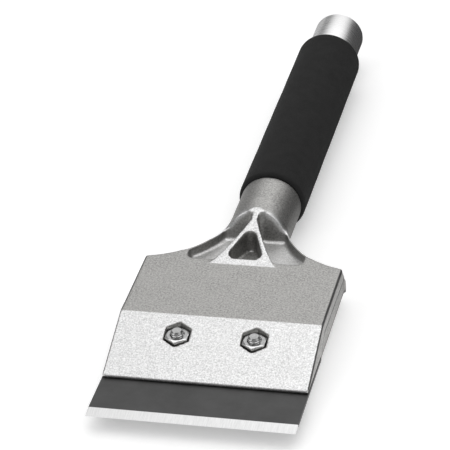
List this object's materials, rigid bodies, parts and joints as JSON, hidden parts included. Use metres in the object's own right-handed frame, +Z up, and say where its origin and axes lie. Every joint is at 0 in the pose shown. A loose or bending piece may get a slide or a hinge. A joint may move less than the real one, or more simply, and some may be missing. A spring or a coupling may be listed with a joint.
{
  "type": "floor scraper",
  "caption": "Hand floor scraper: a cast head clamps a wide steel blade under captive nuts, on a straight tubular handle with a foam grip.",
  "frame": {"origin": "centre of the object's box in X and Y, at the height of the grip's lowest line, which the object lies on", "axes": "+X across the blade to the right seen from above with the handle pointing away, +Y from the blade's edge along the handle, +Z up out of the head's top face"},
  "size_m": [0.1016, 0.3644, 0.0355],
  "materials": {
    "cast_head": "fine-grained sand casting, with a ground front facet and rib",
    "cast_clamp": "fine-grained sand casting",
    "blade_steel": "dark blued spring steel with a bright ground bevel",
    "zinc_steel": "zinc plated",
    "spring_steel": "plain dark steel",
    "turned_tube": "bright, with fine turning marks round the tube",
    "black_plastic": "moulded, matt",
    "foam": "matt closed-cell foam"
  },
  "bodies": {
    "frame": {"head_casting": "cast_head", "clamp_nut_left": "zinc_steel", "clamp_nut_right": "zinc_steel", "handle_tube": "turned_tube", "end_plug": "black_plastic", "foam_grip": "foam", "tube_pin": "spring_steel"},
    "clamp": {"clamp_plate": "cast_clamp", "lock_washer_left": "spring_steel", "lock_washer_right": "spring_steel"},
    "bolt_left": {"clamp_bolt_left": "zinc_steel"},
    "bolt_right": {"clamp_bolt_right": "zinc_steel"},
    "blade": {"blade": "blade_steel"}
  },
  "joints": [
    {"name": "clamp_release", "type": "slide", "parent": "frame", "child": "clamp", "axis": [0, 0, -1], "range_m": [0, 0.003]},
    {"name": "bolt_left_turn", "type": "hinge", "parent": "clamp", "child": "bolt_left", "pos_m": [-0.0192, -0.12585, 0], "axis": [0, 0, -1], "range_deg": [0, 860]},
    {"name": "bolt_right_turn", "type": "hinge", "parent": "clamp", "child": "bolt_right", "pos_m": [0.0192, -0.12585, 0], "axis": [0, 0, -1], "range_deg": [0, 860]},
    {"name": "blade_slide", "type": "slide", "parent": "frame", "child": "blade", "axis": [0, -1, 0], "range_m": [0, 0.034]}
  ],
  "couplings": [
    {"joint": "bolt_left_turn", "follows": "clamp_release", "rad_per_m": 4947.4},
    {"joint": "bolt_right_turn", "follows": "clamp_release", "rad_per_m": 4947.4}
  ]
}
